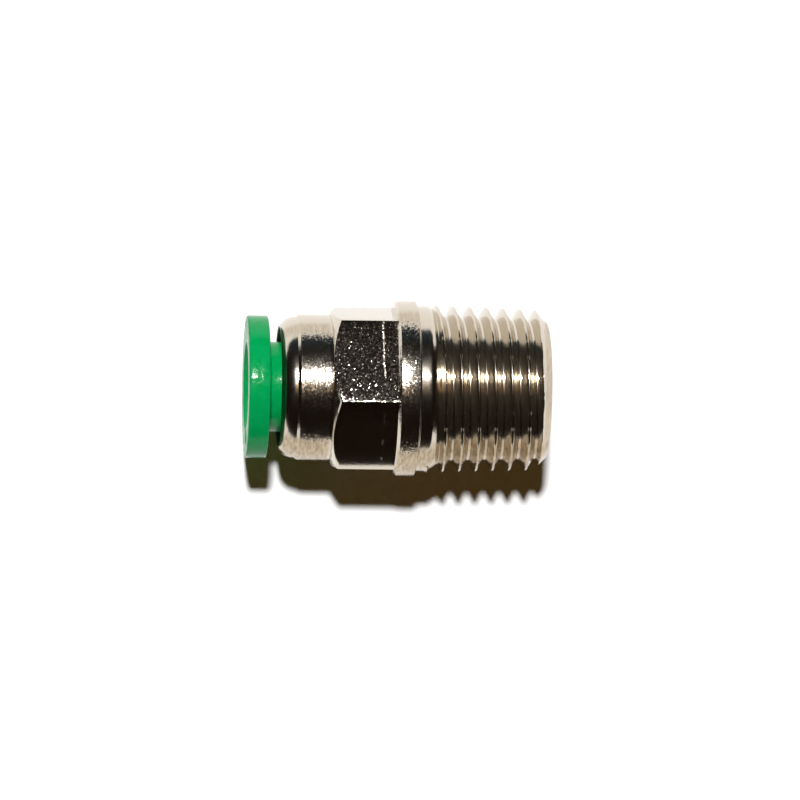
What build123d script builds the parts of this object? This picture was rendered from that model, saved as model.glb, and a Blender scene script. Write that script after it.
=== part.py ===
from build123d import *
import os
from math import acos, atan, ceil, cos, degrees, radians, sin, sqrt, tan

# Straight male push to connect fitting: 6 mm tube to a taper R1/4 pipe thread.
# Millimetres. X is the fitting's own axis: the tube goes in at -X and the pipe thread
# leaves at +X. The origin is on the axis, at the thread side of the round collar.
# A radius is named _r, a place along the axis _x, and both are measured from the origin.

# Taper pipe thread, ISO 7-1 R1/4
pitch = 25.4 / 19
gauge_r = 13.157 / 2          # major radius at the gauge plane
gauge_length = 6.0            # from the gauge plane to the small end
thread_depth = 0.856
taper = 1 / 32                # growth of the radius per millimetre
flank_angle = 27.5            # half of the 55 degree thread form
root_flat = 0.16 * pitch      # left by the threading tool's rounded tip
tool_clearance = 0.15         # how far the thread's cutting form stands out of the bar
thread_bar_x = -0.6           # the thread's bar starts inside the collar
crest_at_y = 1.55             # where the first crest crosses the +Y side

# Outside of the body, from the thread end back to the nose
end_x = 10.48
end_chamfer_r = 5.45
end_chamfer_length = 0.97
land_end_x = 0.88
land_r = 6.63
washout_x = 2.35              # where the thread reaches its full depth
washout_overlap = 0.3         # the washout's cone runs on below the thread's root
collar_start_x = -1.83
collar_r = 7.0
collar_nose_chamfer = 0.24
collar_thread_chamfer = 0.12
hex_start_x = -6.92
hex_flats = 12.0
hex_turn = 20.75              # from +Z to the nearest flat's normal, towards +Y
hex_chamfer_r = 5.98
hex_chamfer_angle = 34
barrel_r = 5.825
barrel_bevel_x = -9.47
crimp_x = -9.70
crimp_r = 5.655
nose_round = 1.50             # the rolled nose is one arc, from the crimp's bevel to the rim
rim_outer_r = 4.94
rim_inner_r = 4.86
nose_x = crimp_x - sqrt(nose_round ** 2 - (rim_outer_r - crimp_r + nose_round) ** 2)

# Bores of the body, from the thread end back to the nose
flow_r = 2.3
flow_chamfer = 0.6
tube_stop_x = 2.0
tube_r = 3.05                 # socket for a 6 mm tube
gland_x = -3.30
gland_r = 4.40
cartridge_x = -5.00
cartridge_r = 4.75
lip_x = -10.30
lip_r = 4.15
mouth_x = -10.56              # the mouth flares from here to the rim

# Parts of the cartridge held between the gland's shoulder and the rolled lip
insert_r = 4.72
float_gap = 0.02              # left between neighbours along the axis
seal_section = 1.50
seal_inner_r = 2.86
washer_thickness = 0.60
washer_bore_r = 3.10
support_thickness = 1.40
support_bore_r = 3.12
support_seat_r = 3.95
support_seat_angle = 55
ring_thickness = 0.30
ring_float = 0.04
ring_r = 4.66
ring_bend_r = 3.90
tooth_tip_r = 2.86
tooth_angle = 35
tooth_count = 10
tooth_gap = 0.50
bush_bore_r = 3.68
bush_pocket_r = 4.18
bush_stop_x = -9.45

# Release sleeve, drawn where it rests
sleeve_face_x = -13.56
flange_thickness = 1.67
flange_r = 5.695
flange_round = 0.15
sleeve_bore_r = 3.10
sleeve_entry = 0.45
neck_r = 3.60
barb_x = -9.15
barb_length = 0.30
barb_r = 4.0
sleeve_tip_x = -8.0
sleeve_tip_r = 3.42
slot_count = 4
slot_width = 0.6
slot_start_x = -10.6
gate_size = (0.16, 1.35, 0.9)  # stub left by the moulding gate on the flange's face
gate_y = -4.0


def turned(*outline, rounds={}):
    """A solid turned about X from (x, radius) corners; rounds gives a corner its radius."""
    face = make_face(Polyline(*outline, close=True))
    for corner, radius in rounds.items():
        place = Vector(*outline[corner], 0)
        nearest = face.vertices().sort_by(lambda v: (Vector(*v) - place).length)[0]
        face = fillet(nearest, radius)
    return revolve(face, Axis.X)


def ring(x0, x1, inner_r, outer_r):
    return turned((x0, inner_r), (x1, inner_r), (x1, outer_r), (x0, outer_r))


def crest_r(x):
    """Major radius of the taper thread at x."""
    return gauge_r + (end_x - gauge_length - x) * taper


# Body: pipe thread, land, collar, hexagon and crimped nose, turned from one brass bar

def thread_turn(i):
    """What turn i of the groove removes: a V form swept right-handed along the cone."""
    start_x = crest_at_y + pitch * (i - 1.25)   # at +Z, a quarter turn after +Y
    path = Helix(pitch, pitch, crest_r(start_x) - thread_depth, center=(start_x, 0, 0),
                 direction=(1, 0, 0), cone_angle=-degrees(atan(taper)))
    start = path @ 0
    radial = Vector(0, start.Y, start.Z).normalized()
    plane = Plane(origin=start, x_dir=radial, z_dir=radial.cross(Vector(1, 0, 0)))
    height = thread_depth + tool_clearance
    root_half = root_flat / 2
    top_half = root_half + height * tan(radians(flank_angle))
    form = make_face(Polyline((0, -root_half), (0, root_half), (height, top_half),
                              (height, -top_half), close=True))
    return sweep(plane * form, path=path, is_frenet=True)


def threaded_end():
    chamfer_x = end_x - end_chamfer_length
    solid = turned((thread_bar_x, 0), (thread_bar_x, crest_r(thread_bar_x)),
                   (chamfer_x, crest_r(chamfer_x)), (end_x, end_chamfer_r), (end_x, 0))
    for i in range(ceil((end_x - crest_at_y) / pitch + 1.75)):
        solid -= thread_turn(i)
    # the die's lead leaves the last turns shallow beside the land: a cone fills the groove
    root_r = crest_r(washout_x) - thread_depth
    slope = (land_r - root_r) / (washout_x - land_end_x)
    washout = turned((collar_start_x, 0), (collar_start_x, land_r), (land_end_x, land_r),
                     (washout_x + washout_overlap, root_r - washout_overlap * slope),
                     (washout_x + washout_overlap, 0))
    return solid + washout


def hexagon():
    prism = extrude(Plane.YZ.offset(hex_start_x) * Rot(0, 0, 90 - hex_turn + 30)
                    * RegularPolygon(hex_flats / 2, 6, major_radius=False),
                    collar_start_x - hex_start_x)
    corner_r = hex_flats / 2 / cos(radians(30)) + 0.1
    chamfer_length = (corner_r - hex_chamfer_r) * tan(radians(hex_chamfer_angle))
    return prism & turned((hex_start_x, 0), (hex_start_x, hex_chamfer_r),
                          (hex_start_x + chamfer_length, corner_r),
                          (collar_start_x, corner_r), (collar_start_x, 0))


def collar():
    top_x = -collar_thread_chamfer
    return turned((collar_start_x, 0), (collar_start_x, collar_r - collar_nose_chamfer),
                  (collar_start_x + collar_nose_chamfer, collar_r), (top_x, collar_r),
                  (0, land_r), (0, 0))


def nose():
    """The barrel, its crimp bevel and the rolled nose, still solid."""
    rolled = CenterArc((crimp_x, crimp_r - nose_round), nose_round, 90,
                       degrees(acos((rim_outer_r - crimp_r + nose_round) / nose_round)))
    rest = Polyline(rolled @ 1, (nose_x, 0), (hex_start_x, 0), (hex_start_x, barrel_r),
                    (barrel_bevel_x, barrel_r), rolled @ 0)
    return revolve(make_face([rolled, rest]), Axis.X)


def bores():
    """Everything bored out of the body, as one turned solid."""
    return turned(
        (end_x, 0), (end_x, flow_r + flow_chamfer), (end_x - flow_chamfer, flow_r),
        (tube_stop_x, flow_r), (tube_stop_x, tube_r), (gland_x, tube_r), (gland_x, gland_r),
        (cartridge_x, gland_r), (cartridge_x, cartridge_r), (lip_x, cartridge_r),
        (lip_x, lip_r), (mouth_x, lip_r), (nose_x, rim_inner_r), (nose_x, 0))


def fitting_body():
    return threaded_end() + collar() + hexagon() + nose() - bores()


# Cartridge, from the gland outwards

def tube_seal():
    centre = Plane.XY * Pos(gland_x - float_gap * 4 - seal_section / 2,
                            seal_inner_r + seal_section / 2)
    return revolve(centre * Circle(seal_section / 2), Axis.X)


def seal_washer(x1):
    return ring(x1 - washer_thickness, x1, washer_bore_r, insert_r)


def support_ring(x1):
    """Holds the ring's rim and leaves a cone for its teeth to bend into."""
    x0 = x1 - support_thickness
    seat = (support_seat_r - support_bore_r) * tan(radians(support_seat_angle))
    return turned((x0, insert_r), (x0, support_seat_r), (x0 + seat, support_bore_r),
                  (x1, support_bore_r), (x1, insert_r))


def grab_ring(x1):
    """Stamped spring steel washer: a flat rim and a crown of teeth that lean inwards."""
    lean = Vector(sin(radians(tooth_angle)), -cos(radians(tooth_angle)))
    across = Vector(-lean.Y, lean.X) * ring_thickness
    x0 = x1 - ring_thickness
    bend = Vector(x0, ring_bend_r)
    tip = bend + lean * ((ring_bend_r - tooth_tip_r) / -lean.Y)
    inner_bend = Vector(x1, ring_bend_r + ring_thickness * tan(radians(tooth_angle / 2)))
    crown = turned((x0, ring_r), (bend.X, bend.Y), (tip.X, tip.Y),
                   ((tip + across).X, (tip + across).Y), (inner_bend.X, inner_bend.Y),
                   (x1, ring_r))
    gap = Pos((x0 + tip.X) / 2, 0, ring_bend_r / 2) * Box(
        2 * ring_thickness + tip.X - x0 + 1, tooth_gap, ring_bend_r + 0.1)
    relief = Pos(x0, 0, ring_bend_r) * Rot(0, 90, 0) * Cylinder(tooth_gap / 2 + 0.05, 2)
    for i in range(tooth_count):
        crown -= Rot(360 * i / tooth_count, 0, 0) * (gap + relief)
    return crown


def guide_bush(x1):
    """Keeps the ring seated, guides the sleeve's neck and stops its barbs."""
    x0 = lip_x + float_gap
    return turned((x0, bush_bore_r), (bush_stop_x, bush_bore_r), (bush_stop_x, bush_pocket_r),
                  (x1, bush_pocket_r), (x1, insert_r), (x0, insert_r))


def release_sleeve():
    back_x = sleeve_face_x + flange_thickness
    barb_end_x = barb_x + barb_length
    sleeve = turned(
        (sleeve_face_x + sleeve_entry, sleeve_bore_r),
        (sleeve_face_x, sleeve_bore_r + sleeve_entry), (sleeve_face_x, flange_r),
        (back_x, flange_r), (back_x, neck_r), (barb_x, neck_r), (barb_x, barb_r),
        (barb_end_x, barb_r), (sleeve_tip_x, sleeve_tip_r), (sleeve_tip_x, sleeve_bore_r),
        rounds={2: flange_round, 3: flange_round, 4: flange_round})
    length = sleeve_tip_x - slot_start_x
    slot = Pos(slot_start_x + length / 2 + 0.5, 0, barb_r) * Box(length + 1, slot_width, barb_r)
    for i in range(slot_count):
        sleeve -= Rot(45 + 360 * i / slot_count, 0, 0) * slot
    return sleeve + Pos(sleeve_face_x, gate_y, 0) * Box(*gate_size)


def write(name, solid):
    export_step(solid, f"parts/{name}.step")


os.makedirs("parts", exist_ok=True)
washer_x = cartridge_x - float_gap
support_x = washer_x - washer_thickness - float_gap
ring_x = support_x - support_thickness - ring_float
bush_x = ring_x - ring_thickness - ring_float

write("fitting_body", fitting_body())
write("tube_seal", tube_seal())
write("seal_washer", seal_washer(washer_x))
write("support_ring", support_ring(support_x))
write("grab_ring", grab_ring(ring_x))
write("guide_bush", guide_bush(bush_x))
write("release_sleeve", release_sleeve())
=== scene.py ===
import math

import bmesh
import bpy
import numpy as np
from mathutils import Matrix, Vector, noise


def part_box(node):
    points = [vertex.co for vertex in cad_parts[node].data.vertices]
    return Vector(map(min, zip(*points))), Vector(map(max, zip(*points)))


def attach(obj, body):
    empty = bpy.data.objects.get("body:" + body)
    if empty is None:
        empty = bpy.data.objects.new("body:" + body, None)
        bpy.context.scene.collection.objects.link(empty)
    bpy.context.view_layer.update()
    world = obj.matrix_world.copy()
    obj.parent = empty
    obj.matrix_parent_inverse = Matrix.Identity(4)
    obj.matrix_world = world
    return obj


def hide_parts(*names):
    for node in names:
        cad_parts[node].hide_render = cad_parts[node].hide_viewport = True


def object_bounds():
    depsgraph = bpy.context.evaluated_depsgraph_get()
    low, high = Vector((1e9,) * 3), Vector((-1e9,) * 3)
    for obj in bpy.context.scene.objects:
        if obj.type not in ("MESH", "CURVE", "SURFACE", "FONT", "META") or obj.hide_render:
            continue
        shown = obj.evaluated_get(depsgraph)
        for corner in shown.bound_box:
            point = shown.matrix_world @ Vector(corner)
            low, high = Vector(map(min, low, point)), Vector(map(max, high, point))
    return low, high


# A straight push to connect fitting lying on a pale floor, seen from above.
# The frame is the CAD's: X along the fitting, tube end at -X, +Z up, origin on the axis at
# the collar's thread side. Sizes are in millimetres where a comment doesn't say metres.

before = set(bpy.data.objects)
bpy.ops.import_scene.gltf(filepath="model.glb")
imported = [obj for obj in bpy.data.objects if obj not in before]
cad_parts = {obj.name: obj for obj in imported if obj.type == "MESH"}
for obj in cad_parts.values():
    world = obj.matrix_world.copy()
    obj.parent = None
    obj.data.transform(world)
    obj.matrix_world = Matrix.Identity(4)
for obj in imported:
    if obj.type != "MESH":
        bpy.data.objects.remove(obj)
cad_low, cad_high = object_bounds()
MM = 0.001

body_low, body_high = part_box("fitting_body")
sleeve_low, sleeve_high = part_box("release_sleeve")
nose_x, end_x = body_low[0] / MM, body_high[0] / MM
collar_r = body_high[2] / MM
sleeve_face_x = -13.56        # the flange; the sleeve's box starts at the gate stub on it
sleeve_tip_x = sleeve_high[0] / MM
flange_r = sleeve_high[2] / MM

# Outside of the body
lip_r, lip_x, mouth_x = 4.15, -10.30, -10.56
rim_inner_r, rim_outer_r = 4.86, 4.94
nose_round = 1.50
nose_ripple_x, nose_ripple_r, nose_ripple_reach = 0.010, 0.014, 1.3
crimp_r, crimp_x = 5.655, -9.70
barrel_r, barrel_x = 5.825, -9.47
hex_x, hex_end_x = -6.92, -1.83
hex_flat = 6.0
# for each flat, from the one nearest +Z towards +Y
hex_crown = np.array([0.03, 0.04, 0.06, 0.05, 0.04, 0.13])   # its middle, out of its edges' plane
hex_grain = np.array([0.85, 0.55, 0.80, 0.45, 0.70, 0.08])   # how strong its sparkling grain is
hex_turn = math.radians(20.75)   # the first flat's middle, from +Z towards +Y
hex_edge_round = 0.07
tool_line_x, tool_line_wander = -2.95, 0.16
tool_line_width, tool_line_depth = 0.055, 0.012
sharp_angle = math.radians(34)
chamfer_r, chamfer_slope = 5.98, math.tan(math.radians(34))
collar_bevel_r, collar_bevel, collar_edge = 6.76, 0.24, 0.12
land_r, land_end_x = 6.63, 0.88
pitch = 25.4 / 19
crest_at_y = 1.55             # x of a crest on the +Y side
thread_depth, flank = 0.87, math.radians(30)
crest_half = 0.07
thread_soft = 0.045           # rounding of the crests and roots, as a share of the depth
washout_slope = 0.60          # how fast the grooves deepen beside the land
rings_per_pitch = 27
gauge_length = 6.0
crest_gauge_r = 6.60          # the crests at the gauge plane
end_chamfer_r = 5.44

# Bores of the body
flow_r, flow_chamfer = 2.3, 0.6
tube_stop_x, tube_r = 2.0, 3.05
gland_x, gland_r = -3.30, 4.40
cartridge_x, cartridge_r = -5.00, 4.75

# Release sleeve
flange_back_x = sleeve_face_x + 1.67
neck_r, bore_r, entry = 3.60, 3.10, 0.45
barb_x, barb_end_x, barb_r, tip_r = -9.15, -8.85, 4.0, 3.42
slot_width, slot_start_x = 0.6, -10.6
gate_y, gate_half_size = -4.0, (0.08, 0.62, 0.42)
grain_cell = 0.075            # of the nickel

# Light and camera, sizes in metres
key_lean_x, key_lean_y = math.radians(4.7), math.radians(19.2)
camera_lean, camera_roll = math.radians(4.7), math.radians(0.72)
camera_distance, view_width = 0.470, 0.064
floor_gap = 0.00002


def smooth_clip(t, soft):
    """0 below 0, 1 above 1, t between, with its two corners rounded over soft."""
    return 0.5 * (np.sqrt(t * t + soft * soft) - np.sqrt((t - 1) ** 2 + soft * soft) + 1)


def wave_noise(points, size, seed=0.0):
    """Smooth noise in -1..1 at each (x, y, z) point; size is its grain in millimetres."""
    shift = Vector((seed, seed * 0.37, -seed))
    return np.array([noise.noise(Vector(p) / size + shift) for p in points])


def in_scene(name, data):
    """A new object that shows this data."""
    thing = bpy.data.objects.new(name, data)
    bpy.context.scene.collection.objects.link(thing)
    return thing


def mesh_from(name, shape):
    """A mesh from a bmesh, which is used up."""
    mesh = bpy.data.meshes.new(name)
    shape.to_mesh(mesh)
    shape.free()
    return mesh


def angles_around(steps_per_half_side=24):
    """Angles from +Z towards +Y, closest together at the hexagon's corners."""
    rise = (np.arange(steps_per_half_side) / steps_per_half_side) ** 1.35 * math.pi / 6
    side = np.concatenate([rise, [math.pi / 6], math.pi / 3 - rise[:0:-1]])
    corner = hex_turn + math.pi / 6
    return np.concatenate([corner + k * math.pi / 3 + side for k in range(6)])


def build_mesh(name, rings, angles):
    """A closed ring of rings about X: each ring is (x, radius), numbers or one per angle."""
    count = len(angles)
    xr = np.array([[np.broadcast_to(x, count), np.broadcast_to(r, count)] for x, r in rings])
    x, r = xr[:, 0], xr[:, 1]
    points = np.stack([x, r * np.sin(angles), r * np.cos(angles)], axis=-1) * MM
    row = np.arange(len(rings))[:, None]
    col = np.arange(count)[None, :]
    after_row, after_col = (row + 1) % len(rings), (col + 1) % count
    # each face starts at its second ring, so its diagonal follows the thread's helix
    faces = np.stack([after_row * count + col, after_row * count + after_col,
                      row * count + after_col, row * count + col], axis=-1)
    mesh = bpy.data.meshes.new(name)
    mesh.from_pydata(points.reshape(-1, 3).tolist(), [], faces.reshape(-1, 4).tolist())
    mesh.validate()
    mesh.shade_smooth()
    mesh.set_sharp_from_angle(angle=sharp_angle)
    return in_scene(name, mesh)


def straight(start, end, steps):
    """Rings from start to end, without the last."""
    return [tuple(a + (b - a) * i / steps for a, b in zip(start, end)) for i in range(steps)]


def arc(centre, radius, from_deg, to_deg, steps):
    """Rings on an arc in the (x, radius) plane, both ends included."""
    turn = [math.radians(from_deg + (to_deg - from_deg) * i / steps) for i in range(steps + 1)]
    return [(centre[0] + radius * math.cos(a), centre[1] + radius * math.sin(a)) for a in turn]


def corner(before, at, after, radius, steps=3):
    """Rings that round the corner at `at` between its two neighbours."""
    a, b, c = (Vector(p) for p in (before, at, after))
    u, v = (a - b).normalized(), (c - b).normalized()
    half = u.angle(v) / 2
    reach = radius / math.tan(half)
    middle = b + (u + v).normalized() * (radius / math.sin(half))
    start, end = b + u * reach - middle, b + v * reach - middle
    turn = start.angle_signed(end)
    return [tuple(middle + Matrix.Rotation(-turn * i / steps, 2) @ start)
            for i in range(steps + 1)]


def outline(points, rounds):
    """Rings through the points; rounds maps a point's index to the radius of its corner."""
    rings = []
    for i, point in enumerate(points):
        if i in rounds:
            rings += corner(points[i - 1], point, points[i + 1], rounds[i])
        else:
            rings.append(point)
    return rings


def flat_number(angles):
    """Which flat of the hexagon lies at each angle."""
    return np.floor((angles - hex_turn) / (math.pi / 3) + 0.5).astype(int) % 6


def hex_radius(angles):
    """Distance from the axis to the crowned hexagon, with its long edges rounded."""
    off = (angles - hex_turn + math.pi / 6) % (math.pi / 3) - math.pi / 6
    crown = hex_crown[flat_number(angles)]
    half_side = hex_flat * math.tan(math.pi / 6)

    def radius_at(angle):
        radius = np.full_like(angle, hex_flat)
        for _ in range(6):
            along = np.clip(np.abs(radius * np.sin(angle)) / half_side, 0, 1.2)
            radius = (hex_flat + crown * (1 - along ** 4)) / np.cos(angle)
        return radius

    near = radius_at(off)
    other = radius_at(off - np.sign(off) * math.pi / 3)
    gap = other - near
    return near - 0.5 * (np.sqrt(gap * gap + hex_edge_round ** 2 * 0.35) - np.abs(gap))


def crest_radius(x):
    """The radius over the crests, which taper 1 in 16 on the diameter."""
    return crest_gauge_r + (end_x - gauge_length - x) / 32


def thread_radius(x, angles):
    """The taper thread: V grooves with small flats, shallow beside the land, chamfered end."""
    turns = (x - crest_at_y) / pitch - (math.pi / 2 - angles) / (2 * math.pi)
    from_crest = np.abs(turns - np.round(turns)) * pitch
    depth = smooth_clip((from_crest - crest_half) / (thread_depth * math.tan(flank)),
                        thread_soft)
    radius = crest_radius(x) - thread_depth * depth
    radius = np.maximum(radius, land_r - washout_slope * (x - land_end_x))
    return np.minimum(radius, end_chamfer_r + end_x - x)


def thread_stations(angles):
    """The thread's rings: at each angle they keep step with the helix."""
    turn = (math.pi / 2 - angles) / (2 * math.pi)
    first = (land_end_x - crest_at_y) / pitch - turn
    count = int((end_x - 0.06 - land_end_x) / pitch * rings_per_pitch)
    cells = [np.round(first * rings_per_pitch + i) + 0.5 for i in range(count)]
    return [crest_at_y + pitch * (cell / rings_per_pitch + turn) for cell in cells]


def tool_line(x, angles, jag):
    """How strongly a point lies on the hexagon's jagged tool line: bold over part of the
    circle on the +Y side of +Z, faint and broken elsewhere."""
    line_x = tool_line_x + tool_line_wander * jag
    degrees = np.degrees(angles) % 360
    bold = np.clip((degrees - 6) / 4, 0, 1) * (degrees < 50) * np.clip(1.2 + 2 * jag, 0.3, 1)
    faint = 0.5 * np.clip(3 * jag - 0.4, 0, 1)
    return np.maximum(bold, faint) * np.exp(-((x - line_x) / tool_line_width) ** 2)


def on_circle(angles):
    """A point for each angle, on a 3 mm circle about the axis, to sample noise at."""
    return np.stack([np.zeros_like(angles), 3 * np.sin(angles), 3 * np.cos(angles)], 1)


def jagged(angles):
    """Irregular steps round the axis, about -1 to 1, for the tool line's wander."""
    circle = on_circle(angles)
    return wave_noise(circle, 0.5, 7.0) + 0.8 * wave_noise(circle, 0.13, 1.0)


def nose_rings(angles):
    """The flared mouth, the rolled nose with its slight ripple, the crimp and the barrel."""
    ripple = wave_noise(on_circle(angles), 0.55, 3.0)
    rings = [(lip_x, lip_r), (mouth_x, lip_r), (mouth_x - 0.06, lip_r + 0.10)]
    rings += straight((mouth_x - 0.12, lip_r + 0.20), (nose_x, rim_inner_r), 3)
    rings += [(nose_x + 0.012, rim_inner_r - 0.02), (nose_x, rim_inner_r + 0.02)]
    reach = math.degrees(math.acos((rim_outer_r - crimp_r + nose_round) / nose_round))
    for x, r in arc((crimp_x, crimp_r - nose_round), nose_round, 90 + reach, 92, 30):
        rolled = math.sin(math.pi * min(1.0, (crimp_x - x) / nose_ripple_reach))
        rings.append((x + nose_ripple_x * rolled * ripple, r + nose_ripple_r * rolled * ripple))
    rings += outline([(crimp_x - 0.1, crimp_r), (crimp_x, crimp_r), (barrel_x, barrel_r),
                      (barrel_x + 0.2, barrel_r)], {1: 0.05, 2: 0.08})[1:]
    return rings + straight((barrel_x + 0.4, barrel_r), (hex_x - 0.05, barrel_r), 8)


def hexagon_rings(angles):
    """The hexagon's end face, its chamfer cone and its flats, with rings close together
    at the tool line."""
    jag = jagged(angles)
    flats = hex_radius(angles)
    meets_x = hex_x + np.maximum(flats - chamfer_r, 0.004) * chamfer_slope
    rings = [(hex_x, barrel_r), (hex_x, chamfer_r - 0.03), (hex_x + 0.012, chamfer_r)]
    for share in (0.35, 0.7, 0.96):
        rings.append((hex_x + (meets_x - hex_x) * share, chamfer_r + (flats - chamfer_r) * share))
    flats_end_x = hex_end_x + np.maximum(flats - collar_bevel_r, 0)
    stations = [0.008, 0.05, 0.15, 0.28, 0.42, 0.55, 0.66]
    stations += [0.70 + 0.0058 * i for i in range(22)] + [0.86, 0.91, 0.96, 0.99, 1.0]
    for share in stations:
        x = meets_x + (flats_end_x - meets_x) * share
        rings.append((x, flats - tool_line_depth * tool_line(x, angles, jag)))
    # a little above the flats, so that no face has zero area where the corners meet the collar
    meets_r = np.maximum(flats + 0.006, collar_bevel_r)
    return rings + [(hex_end_x + meets_r - collar_bevel_r, meets_r)]


def threaded_rings(angles):
    """The collar, the land and the thread."""
    rings = outline([(hex_end_x, collar_bevel_r), (hex_end_x + collar_bevel, collar_r),
                     (-collar_edge, collar_r), (0, land_r + 0.02), (0.02, land_r),
                     (0.2, land_r)], {1: 0.04, 2: 0.04})[1:]
    rings += straight((0.4, land_r), (land_end_x, land_r), 3)
    for x in thread_stations(angles) + [end_x - 0.03 + 0 * angles]:
        rings.append((x, thread_radius(x, angles)))
    return rings


def bore_rings():
    """The thread's end face, then the bores back to the lip."""
    return outline(
        [(end_x, end_chamfer_r - 0.03), (end_x, 4.0), (end_x, flow_r + flow_chamfer),
         (end_x - flow_chamfer, flow_r), (6.0, flow_r), (tube_stop_x, flow_r),
         (tube_stop_x, tube_r), (0, tube_r), (gland_x, tube_r), (gland_x, gland_r),
         (cartridge_x, gland_r), (cartridge_x, cartridge_r), (-7.5, cartridge_r),
         (lip_x, cartridge_r)], {2: 0.08, 3: 0.1, 5: 0.06, 8: 0.06, 10: 0.05})


def add_float(piece, name, values):
    """Stores one number per vertex on the piece, for its material to read."""
    data = piece.data.attributes.new(name, "FLOAT", "POINT")
    data.data.foreach_set("value", np.asarray(values, dtype=np.float32))


def vertices_mm(piece):
    """The x, y and z of the piece's vertices, in millimetres."""
    points = np.empty(len(piece.data.vertices) * 3)
    piece.data.vertices.foreach_get("co", points)
    return (points.reshape(-1, 3) / MM).T


def body_piece():
    """The body's skin, with what its material has to know at each vertex."""
    angles = angles_around()
    rings = nose_rings(angles) + hexagon_rings(angles) + threaded_rings(angles) + bore_rings()
    piece = build_mesh("body_nickel_plated", rings, angles)
    x, y, z = vertices_mm(piece)
    radius, angle = np.hypot(y, z), np.arctan2(y, z)
    # thread and land, collar, hexagon, barrel, and the nose for the rest
    grain = np.select([x > -0.02, x > hex_end_x + 0.1, x > hex_x + 0.05, x > barrel_x],
                      [0.08, 0.60, hex_grain[flat_number(angle)], 0.50],
                      0.16)
    add_float(piece, "grain", grain * (radius > 4.8))
    line = tool_line(x, np.tile(angles, len(rings)), np.tile(jagged(angles), len(rings)))
    add_float(piece, "tool_line", line * (radius > 5.5))
    add_float(piece, "rolled", np.clip((barrel_x - x) / 0.3, 0, 1) * (radius > 4.3))
    on_hexagon = (x > hex_x - 0.02) & (x < hex_end_x + 0.05)
    # painted shade in tan along the -Y side and in a band on the +Y side; tan at the thread's end
    # too
    low_side = np.clip((-y / np.maximum(radius, 1) - 0.62) / 0.14, 0, 1)
    high_side = 0.55 * np.clip(1.6 - np.abs(np.degrees(angle) - 54) / 6, 0, 1) * (x < 0)
    painted_shade_and_tan = np.where(on_hexagon, 0, np.maximum(low_side, high_side))
    painted_shade_and_tan = np.maximum(painted_shade_and_tan, 0.5 * (x > end_x - 0.55) * (radius > 5))
    add_float(piece, "painted_shade_and_tan", painted_shade_and_tan)
    add_float(piece, "drawn", on_hexagon)
    # painted shade: inside the mouth the nickel is darkened to near black
    add_float(piece, "painted_shade_mouth", np.clip((4.9 - radius) / 0.1, 0, 1) * (x < mouth_x + 0.3))
    return piece


def sleeve_rings():
    """Rings round the sleeve: flange, neck, barb and tip, then back through its bore."""
    back_x = flange_back_x
    return outline(
        [(sleeve_face_x + entry, bore_r), (sleeve_face_x, bore_r + entry),
         (sleeve_face_x, 4.6), (sleeve_face_x, flange_r), (sleeve_face_x + 0.5, flange_r),
         (back_x - 0.6, flange_r), (back_x, flange_r), (back_x, 4.6), (back_x, neck_r),
         (back_x + 0.7, neck_r), (-10.4, neck_r), (barb_x, neck_r), (barb_x, barb_r),
         (barb_end_x, barb_r), (sleeve_tip_x, tip_r), (sleeve_tip_x, bore_r),
         (-10.0, bore_r), (-12.0, bore_r)],
        {0: 0.12, 1: 0.08, 3: 0.15, 6: 0.15, 8: 0.12, 12: 0.05, 13: 0.05}
    )


def cut_slots(piece):
    """Four slots let the barbs spring in when the sleeve is pushed through its bush."""
    shape = bmesh.new()
    length = sleeve_tip_x + 0.5 - slot_start_x
    for k in range(2):
        place = Matrix.Rotation(math.radians(45 + 90 * k), 4, "X")
        place = place @ Matrix.Translation(((slot_start_x + length / 2) * MM, 0, 0))
        size = Matrix.Diagonal((length * MM, slot_width * MM, 12 * MM, 1))
        bmesh.ops.create_cube(shape, size=1, matrix=place @ size)
    tool = in_scene("slot_cutter", mesh_from("slot_cutter", shape))
    cut = piece.modifiers.new("slots", "BOOLEAN")
    cut.operation, cut.object, cut.solver, cut.use_self = "DIFFERENCE", tool, "EXACT", True
    bpy.context.view_layer.update()
    evaluated = piece.evaluated_get(bpy.context.evaluated_depsgraph_get())
    piece.data = bpy.data.meshes.new_from_object(evaluated)
    piece.modifiers.clear()
    bpy.data.objects.remove(tool)
    piece.data.shade_smooth()
    piece.data.set_sharp_from_angle(angle=sharp_angle)


def sleeve_piece():
    """The green sleeve, with its outer face marked as matte."""
    angles = np.linspace(0, 2 * math.pi, 144, endpoint=False)
    piece = build_mesh("release_sleeve_green", sleeve_rings(), angles)
    cut_slots(piece)
    x = vertices_mm(piece)[0]
    add_float(piece, "matte", np.clip((sleeve_face_x + 0.16 - x) / 0.12, 0, 1))
    return piece


def gate_stub():
    """The broken-off moulding gate on the flange's outer face."""
    shape = bmesh.new()
    bmesh.ops.create_icosphere(shape, subdivisions=3, radius=1)
    for v in shape.verts:
        rough = 1 + 0.12 * noise.noise(v.co * 2.3)
        x, y, z = (c * half * rough for c, half in zip(v.co, gate_half_size))
        v.co = Vector((sleeve_face_x + x, gate_y + y, z)) * MM
        v.co.x = max(v.co.x, sleeve_low[0])
    mesh = mesh_from("gate_stub_green", shape)
    mesh.shade_smooth()
    return in_scene("gate_stub_green", mesh)


# Materials

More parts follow.
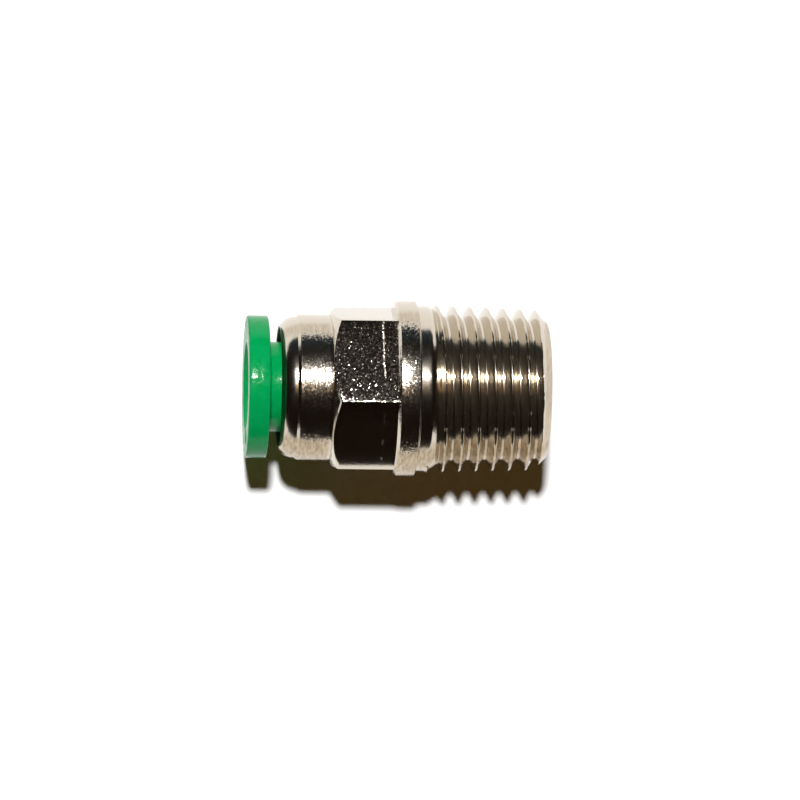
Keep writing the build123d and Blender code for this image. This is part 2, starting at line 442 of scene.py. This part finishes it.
class Nodes:
    """Short names for building a material's node tree."""

    def __init__(self, name, world=None):
        self.material = world or bpy.data.materials.new(name)
        self.material.use_nodes = True
        self.tree = self.material.node_tree
        self.shader = self.tree.nodes["Background" if world else "Principled BSDF"]

    def add(self, kind, settings=(), **inputs):
        """A new node; an input's name has _ for each space."""
        node = self.tree.nodes.new(kind)
        for key, value in dict(settings).items():
            setattr(node, key, value)
        for key, value in inputs.items():
            self.put(node, key.replace("_", " "), value)
        return node

    def put(self, node, key, value):
        """Links or sets an input, by its name or as i and its number."""
        numbered = key[0] == "i" and key[1:].isdigit()
        socket = node.inputs[int(key[1:]) if numbered else key]
        if isinstance(value, bpy.types.NodeSocket):
            self.tree.links.new(value, socket)
        else:
            socket.default_value = value

    def math(self, operation, a, b):
        """A math node's result."""
        return self.add("ShaderNodeMath", {"operation": operation}, i0=a, i1=b).outputs[0]

    def ramp(self, value, low, high, start=0.0, end=1.0):
        """From start at low to end at high, and level beyond both."""
        return self.add("ShaderNodeMapRange", {"clamp": True}, Value=value, From_Min=low,
                        From_Max=high, To_Min=start, To_Max=end).outputs["Result"]

    def noise(self, scale, detail, vector=None):
        """Fractal noise, over the piece's bounding box where no vector is given."""
        node = self.add("ShaderNodeTexNoise", Scale=scale, Detail=detail)
        if vector is not None:
            self.put(node, "Vector", vector)
        return node.outputs["Fac"]

    def mix(self, share, a, b):
        """Colour a, or b where share is 1."""
        return self.add("ShaderNodeMix", {"data_type": "RGBA"}, i0=share, i6=a, i7=b).outputs[2]

    def vector(self, operation, a, b=None, scale=None):
        """A vector math node's first result."""
        node = self.add("ShaderNodeVectorMath", {"operation": operation})
        self.put(node, "i0", a)
        if b is not None:
            self.put(node, "i1", b)
        if scale is not None:
            self.put(node, "Scale", scale)
        return node.outputs[0]

    def place(self, stretch=(1, 1, 1)):
        """Object coordinates, stretched."""
        here = self.add("ShaderNodeTexCoord").outputs["Object"]
        return self.vector("MULTIPLY", here, stretch)


def faceted_normal(nodes, cells, tilt):
    """The surface normal, tipped a little differently in each small cell of the grain."""
    lean = nodes.vector("SUBTRACT", cells.outputs["Color"], (0.5, 0.5, 0.5))
    length = nodes.add("ShaderNodeVectorMath", {"operation": "LENGTH"}, i0=lean).outputs["Value"]
    lean = nodes.vector("SCALE", lean, scale=nodes.math("MULTIPLY", length, tilt))
    surface = nodes.add("ShaderNodeNewGeometry").outputs["Normal"]
    return nodes.vector("NORMALIZE", nodes.vector("ADD", surface, lean))


def nickel():
    """Bright nickel on brass: a fine sparkling grain, smoother on the thread and nose."""
    n = Nodes("nickel_plating")
    masks = {name: n.add("ShaderNodeAttribute", {"attribute_name": name}).outputs["Fac"]
             for name in ("grain", "tool_line", "rolled", "painted_shade_and_tan", "drawn", "painted_shade_mouth")}
    worn = n.noise(2500, 4, n.place())
    streaks = n.noise(2200, 5, n.place((2.5, 0.6, 0.6)))
    cells = n.add("ShaderNodeTexVoronoi", Scale=1 / (grain_cell * MM), Vector=n.place())
    n.shader.inputs["Metallic"].default_value = 1.0
    n.put(n.shader, "Normal", nickel_normal(n, masks, cells, worn, streaks))
    n.put(n.shader, "Base Color", nickel_colour(n, masks, streaks))
    n.put(n.shader, "Roughness", nickel_roughness(n, masks, cells, worn))
    return n.material


def nickel_normal(n, masks, cells, worn, streaks):
    """Facets where there is grain, over turning rings and the streaks of rolled metal."""
    patches = n.noise(700, 3)
    tilt = n.math("MULTIPLY", masks["grain"], n.ramp(patches, 0.3, 0.7, 0.32, 0.60))
    tilt = n.math("ADD", tilt, n.math("MULTIPLY", masks["tool_line"], 0.5))
    rings = n.noise(1000, 4, n.place((14, 0.35, 0.35)))
    height = n.math("ADD", rings, n.math("MULTIPLY", worn, 0.5))
    streaky = n.math("ADD", masks["rolled"], masks["painted_shade_and_tan"])
    height = n.math("ADD", height, n.math("MULTIPLY", streaky, n.math("MULTIPLY", streaks, 2.0)))
    bump = n.add("ShaderNodeBump", Strength=n.ramp(masks["grain"], 0.08, 0.4, 0.10, 0.25),
                 Distance=0.00001, Height=height, Normal=faceted_normal(n, cells, tilt))
    return bump.outputs["Normal"]


def nickel_colour(n, masks, streaks):
    """Warm nickel, with tan painted shade on its sides and tan at the thread's end, dark specks,
    and painted shade making the mouth near black.
    """
    tint = n.mix(n.noise(450, 3), (0.66, 0.60, 0.51, 1), (0.60, 0.54, 0.45, 1))
    tan = n.mix(n.ramp(streaks, 0.35, 0.65), (0.50, 0.41, 0.29, 1), (0.29, 0.22, 0.14, 1))
    # the tan painted shade of the sides, and the tan thread end
    tint = n.mix(n.math("MULTIPLY", masks["painted_shade_and_tan"], 0.95), tint, tan)
    specks = n.ramp(n.noise(6000, 1), 0.26, 0.30, 1.0, 0.0)
    tint = n.mix(specks, tint, (0.25, 0.20, 0.15, 1))
    # painted shade: the inside of the mouth near black
    return n.mix(masks["painted_shade_mouth"], tint, (0.020, 0.016, 0.010, 1))


def nickel_roughness(n, masks, cells, worn):
    """Smoother on the drawn flats, rougher in the dull cells, the tool line and the mouth."""
    dull = n.ramp(n.add("ShaderNodeSeparateColor", i0=cells.outputs["Color"]).outputs[0],
                  0.80, 1.0)
    dull = n.math("MULTIPLY", dull, masks["grain"])
    rough = n.math("ADD", n.ramp(worn, 0.3, 0.7, 0.145, 0.175), n.math("MULTIPLY", dull, 0.15))
    rough = n.math("SUBTRACT", rough, n.math("MULTIPLY", masks["drawn"], 0.06))
    rough = n.math("ADD", rough, n.math("MULTIPLY", masks["tool_line"], 0.34))
    return n.math("ADD", rough, n.math("MULTIPLY", masks["painted_shade_mouth"], 0.4))


def green_plastic():
    """Moulded green acetal; its gloss is broken up by handling scuffs."""
    n = Nodes("green_acetal")
    place = n.place()
    scuffs = n.ramp(n.noise(1500, 6, place), 0.47, 0.56)
    tint = n.mix(n.noise(500, 3, place), (0.0005, 0.290, 0.072, 1), (0.0005, 0.265, 0.065, 1))
    n.put(n.shader, "Base Color", n.mix(n.math("MULTIPLY", scuffs, 0.10), tint,
                                        (0.004, 0.42, 0.14, 1)))
    n.put(n.shader, "Roughness", n.ramp(scuffs, 0, 1, 0.13, 0.20))
    height = n.math("ADD", n.noise(3600, 2, place),
                    n.math("MULTIPLY", n.noise(1200, 1, place), 0.4))
    bump = n.add("ShaderNodeBump", Strength=1.0, Distance=0.00002, Height=height)
    n.put(n.shader, "Normal", bump.outputs["Normal"])
    matte = n.add("ShaderNodeAttribute", {"attribute_name": "matte"}).outputs["Fac"]
    n.put(n.shader, "Specular IOR Level", n.ramp(matte, 0, 1, 0.16, 0.01))
    return n.material


def turned_metal(name, light, dark, rough):
    """Finely turned metal for the hidden rings: circumferential lines and stains."""
    n = Nodes(name)
    lines = n.noise(1000, 3, n.place((30, 1, 1)))
    stain = n.noise(800, 4, n.place())
    n.put(n.shader, "Base Color", n.mix(stain, light, dark))
    n.shader.inputs["Metallic"].default_value = 1.0
    n.put(n.shader, "Roughness", n.ramp(lines, 0.3, 0.7, rough, rough + 0.15))
    bump = n.add("ShaderNodeBump", Strength=0.3, Distance=0.00001, Height=lines)
    n.put(n.shader, "Normal", bump.outputs["Normal"])
    return n.material


def soft_material(name, light, dark, rough, grain):
    """Rubber or unpolished plastic: a mottled colour with a fine skin."""
    n = Nodes(name)
    skin = n.noise(grain, 4, n.place())
    n.put(n.shader, "Base Color", n.mix(n.noise(700, 3, n.place()), light, dark))
    n.put(n.shader, "Roughness", n.ramp(skin, 0.3, 0.7, rough, rough + 0.15))
    bump = n.add("ShaderNodeBump", Strength=0.3, Distance=0.00001, Height=skin)
    n.put(n.shader, "Normal", bump.outputs["Normal"])
    return n.material


def paint(thing, material):
    """Gives the object this material and no other."""
    thing.data.materials.clear()
    thing.data.materials.append(material)


# Pieces

metal = nickel()
green = green_plastic()

body = body_piece()
paint(body, metal)
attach(body, "housing")
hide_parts("fitting_body")
body.visible_diffuse = False   # light scattered by the floor and the sleeve passes it by

sleeve = sleeve_piece()
paint(sleeve, green)
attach(sleeve, "release_sleeve")
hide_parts("release_sleeve")

stub = gate_stub()
paint(stub, green)
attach(stub, "release_sleeve")

brass = turned_metal("turned_brass", (0.80, 0.62, 0.32, 1), (0.66, 0.47, 0.20, 1), 0.22)
steel = turned_metal("spring_steel", (0.66, 0.66, 0.67, 1), (0.52, 0.52, 0.54, 1), 0.18)
rubber = soft_material("seal_rubber", (0.025, 0.025, 0.026, 1), (0.04, 0.038, 0.036, 1), 0.4, 9000)
acetal = soft_material("white_acetal", (0.80, 0.79, 0.74, 1), (0.72, 0.71, 0.66, 1), 0.42, 6000)
for node, material in {"guide_bush": brass, "support_ring": brass, "grab_ring": steel,
                       "tube_seal": rubber, "seal_washer": acetal}.items():
    paint(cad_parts[node], material)


# Floor, light and camera

def floor():
    """A wide sheet of white paper, just under the fitting."""
    shape = bmesh.new()
    bmesh.ops.create_grid(shape, x_segments=1, y_segments=1, size=3.0)
    mesh = mesh_from("floor", shape)
    mesh.transform(Matrix.Translation((0, 0, cad_low[2] - floor_gap)))
    piece = in_scene("floor", mesh)
    n = Nodes("floor_paper")
    n.put(n.shader, "Base Color", n.mix(n.noise(30, 2), (0.93, 0.93, 0.93, 1),
                                        (0.90, 0.90, 0.90, 1)))
    n.shader.inputs["Roughness"].default_value = 0.9
    n.shader.inputs["Specular IOR Level"].default_value = 0.1
    paint(piece, n.material)


def room():
    """A dark brown room round the white floor; straight into the camera it shows pale.
    Its mirror image in the metal has a warm patch overhead and a cold rim towards +Y."""
    world = bpy.data.worlds.new("room")
    bpy.context.scene.world = world
    n = Nodes("room", world)
    way = n.add("ShaderNodeTexCoord").outputs["Generated"]
    overhead = Vector((-math.tan(key_lean_x), math.tan(math.radians(4)), 1)).normalized()
    near = n.add("ShaderNodeVectorMath", {"operation": "DOT_PRODUCT"}, i0=way,
                 i1=overhead).outputs["Value"]
    warm = n.ramp(near, math.cos(math.radians(11)), math.cos(math.radians(3)))
    parts = n.add("ShaderNodeSeparateXYZ", i0=way).outputs
    cold = n.math("MULTIPLY", n.ramp(parts[1], 0.70, 0.90), n.ramp(parts[2], 0.55, 0.15))
    shine = n.mix(cold, (0.009, 0.0055, 0.0035, 1), (0.014, 0.026, 0.036, 1))
    shine = n.mix(warm, shine, (0.52, 0.27, 0.055, 1))
    rays = n.add("ShaderNodeLightPath").outputs
    seen = n.mix(rays["Is Glossy Ray"], (0.050, 0.0285, 0.0085, 1), shine)
    seen = n.mix(rays["Is Camera Ray"], seen, (0.95, 0.95, 0.95, 1))
    n.put(n.shader, "Color", seen)


def lights():
    """One sun, soft at its edges, from +Y and a little from -X."""
    key = bpy.data.lights.new("key", "SUN")
    key.energy, key.angle = 4.2, math.radians(4.5)
    towards = Vector((-math.tan(key_lean_x), math.tan(key_lean_y), 1))
    in_scene("key", key).rotation_euler = towards.to_track_quat("Z", "Y").to_euler()


def camera():
    """Almost straight above, leaning a little towards the tube end, with a long lens."""
    data = bpy.data.cameras.new("camera")
    data.sensor_width = 36
    data.lens = data.sensor_width * camera_distance / view_width
    data.clip_end = 10
    eye = in_scene("camera", data)
    aim = Vector((-1.20, -0.92, 0)) * MM
    back = Vector((-math.sin(camera_lean), 0, math.cos(camera_lean)))
    up = Vector((0, 1, 0))
    turn = Matrix((up.cross(back), up, back)).transposed().to_4x4()
    place = Matrix.Translation(aim + back * camera_distance)
    eye.matrix_world = place @ turn @ Matrix.Rotation(camera_roll, 4, "Z")
    bpy.context.scene.camera = eye


floor()
room()
lights()
camera()
bpy.context.scene.view_settings.view_transform = "Standard"
